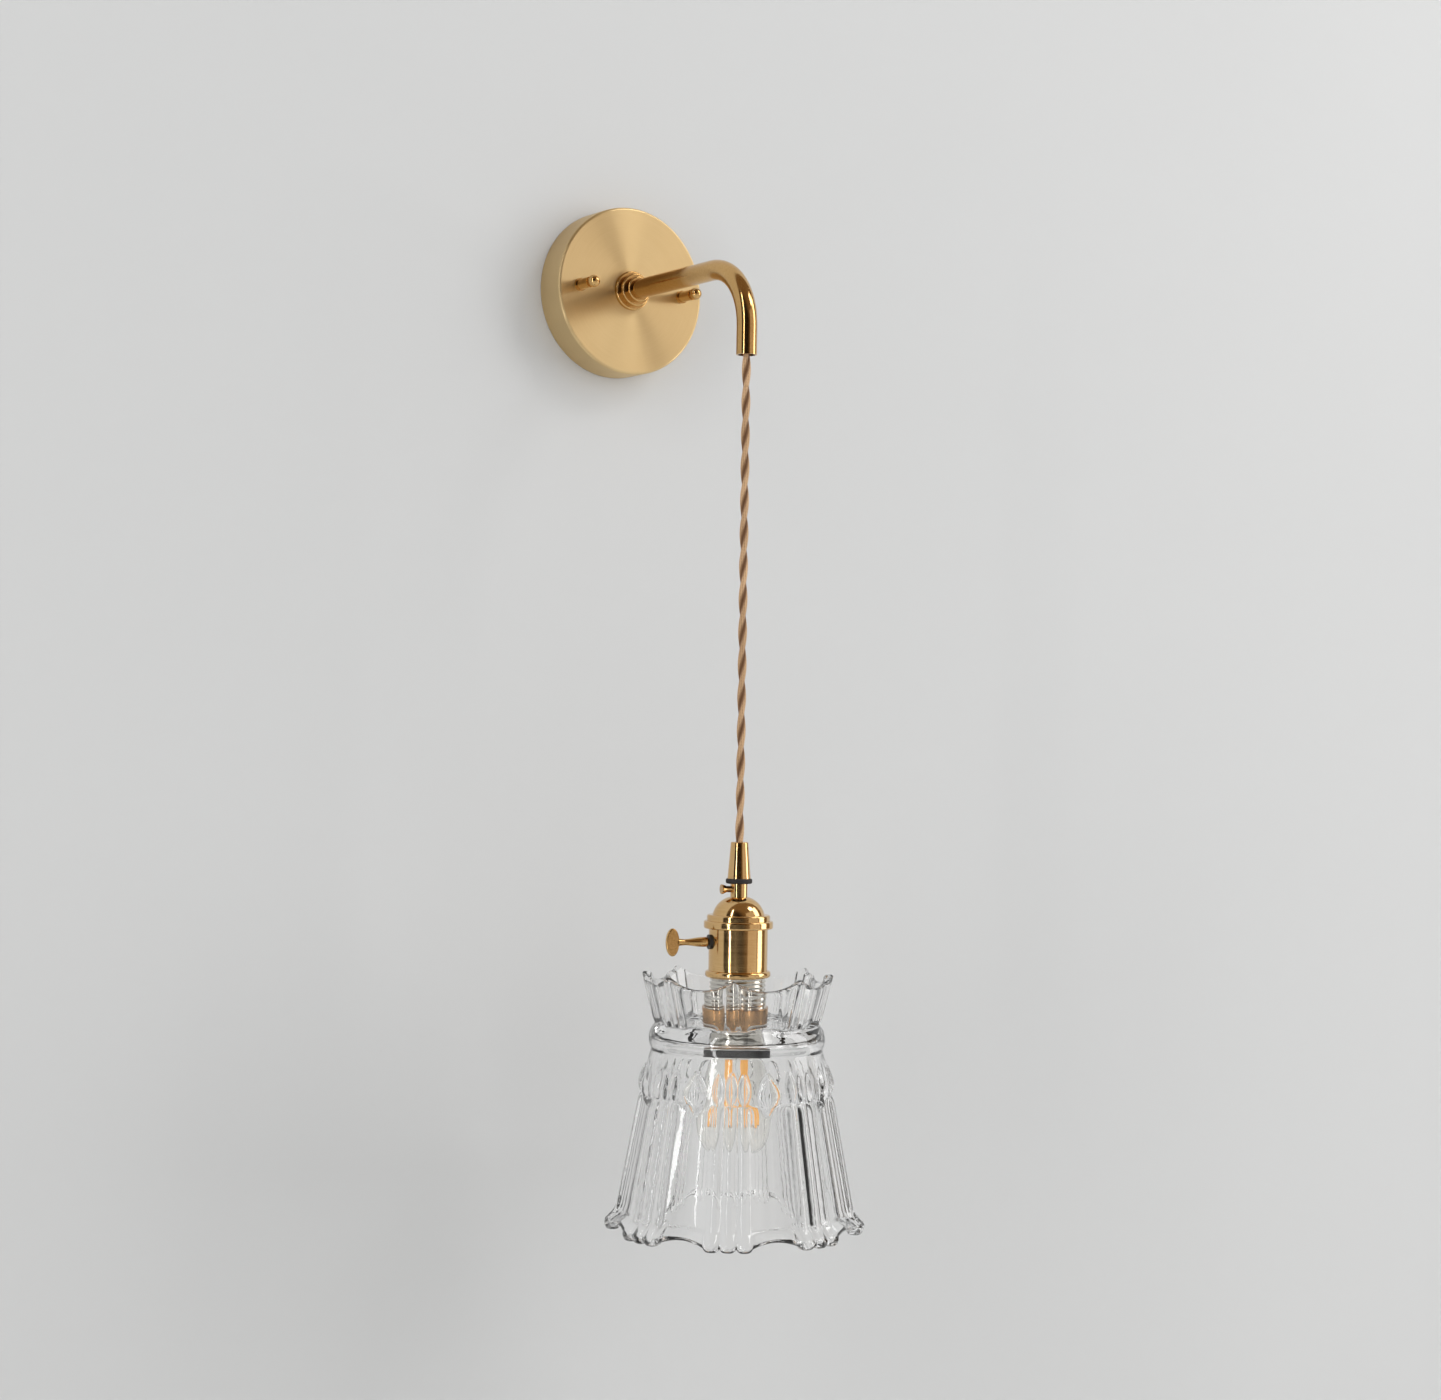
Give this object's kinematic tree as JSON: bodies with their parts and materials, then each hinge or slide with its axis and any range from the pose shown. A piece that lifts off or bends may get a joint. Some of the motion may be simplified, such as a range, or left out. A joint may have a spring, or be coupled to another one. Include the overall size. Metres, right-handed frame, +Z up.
{
  "type": "wall lamp",
  "caption": "Wall lamp with a round brass canopy, bent arm and twisted cord that hangs a keyed lamp socket with a pressed clear-glass shade.",
  "frame": {"origin": "centre of the canopy on the wall plane", "axes": "+Y into the wall, +Z up, +X to the right of someone who faces the wall"},
  "size_m": [0.15, 0.225, 0.6084],
  "materials": {
    "brushed_brass": "spun satin with circular brushing",
    "satin_brass": "polished, lightly lacquered",
    "raw_brass": "as machined",
    "zinc_steel": "zinc plated",
    "nickel_cap": "nickel plated",
    "cord_fabric": "braided cover, twisted pair",
    "wire_sheath": "extruded sheath",
    "pale_nylon": "moulded nylon",
    "black_plastic": "moulded black plastic",
    "dark_rubber": "moulded rubber",
    "phenolic": "moulded phenolic",
    "fibre_washer": "soft translucent washer",
    "pressed_glass": "clear pressed glass, fire polished",
    "lamp_glass": "clear blown glass",
    "filament_coat": "amber phosphor coat"
  },
  "bodies": {
    "wall_mount": {"wall_bracket": "zinc_steel", "bracket_studs": "zinc_steel", "stud_nuts": "zinc_steel", "canopy_cover": "brushed_brass", "cap_nuts": "satin_brass", "arm_collar": "satin_brass", "arm_nipple": "raw_brass", "arm_washer": "zinc_steel", "arm_lock_nut": "zinc_steel", "arm_tube": "satin_brass", "mouth_bush": "black_plastic", "cord_gland": "pale_nylon", "arm_cord": "cord_fabric", "feed_wires": "wire_sheath", "terminal_block": "pale_nylon", "terminal_screws": "raw_brass", "block_screw": "zinc_steel"},
    "cord_top": {"cord_upper": "cord_fabric"},
    "cord_line": {"cord_main": "cord_fabric"},
    "lamp_head": {"cord_grip": "satin_brass", "grip_ring": "dark_rubber", "cap_bushing": "satin_brass", "set_screw": "satin_brass", "socket_cap": "satin_brass", "collar_ring": "satin_brass", "socket_shell": "satin_brass", "head_cord": "cord_fabric", "socket_insert": "phenolic", "key_bush": "black_plastic", "shade_carrier": "satin_brass", "screw_shell": "raw_brass", "centre_contact": "raw_brass", "shade_ring_upper": "satin_brass", "gasket_upper": "fibre_washer", "gasket_lower": "fibre_washer", "shade_ring_lower": "black_plastic", "glass_shade": "pressed_glass", "bulb_cap": "nickel_cap", "bulb_insulator": "black_plastic", "bulb_contact": "raw_brass", "bulb_envelope": "lamp_glass", "bulb_stem": "lamp_glass", "bulb_filaments": "filament_coat", "filament_wires": "zinc_steel"},
    "turn_key": {"switch_key": "satin_brass", "switch_rotor": "black_plastic"}
  },
  "joints": [
    {"name": "side_swing", "type": "hinge", "parent": "wall_mount", "child": "cord_top", "pos_m": [0, -0.15, -0.054], "axis": [0, 1, 0], "range_deg": [-25, 25]},
    {"name": "fore_aft_swing", "type": "hinge", "parent": "cord_top", "child": "cord_line", "pos_m": [0, -0.15, -0.082], "axis": [1, 0, 0], "range_deg": [-25, 7]},
    {"name": "head_twist", "type": "hinge", "parent": "cord_line", "child": "lamp_head", "pos_m": [0, -0.15, -0.3348], "axis": [0, 0, 1], "range_deg": [-90, 90], "stiffness_Nm_per_rad": 0.002},
    {"name": "key_turn", "type": "hinge", "parent": "lamp_head", "child": "turn_key", "pos_m": [-0.02911, -0.14274, -0.392], "axis": [-0.9703, 0.2419, 0], "continuous": true}
  ]
}
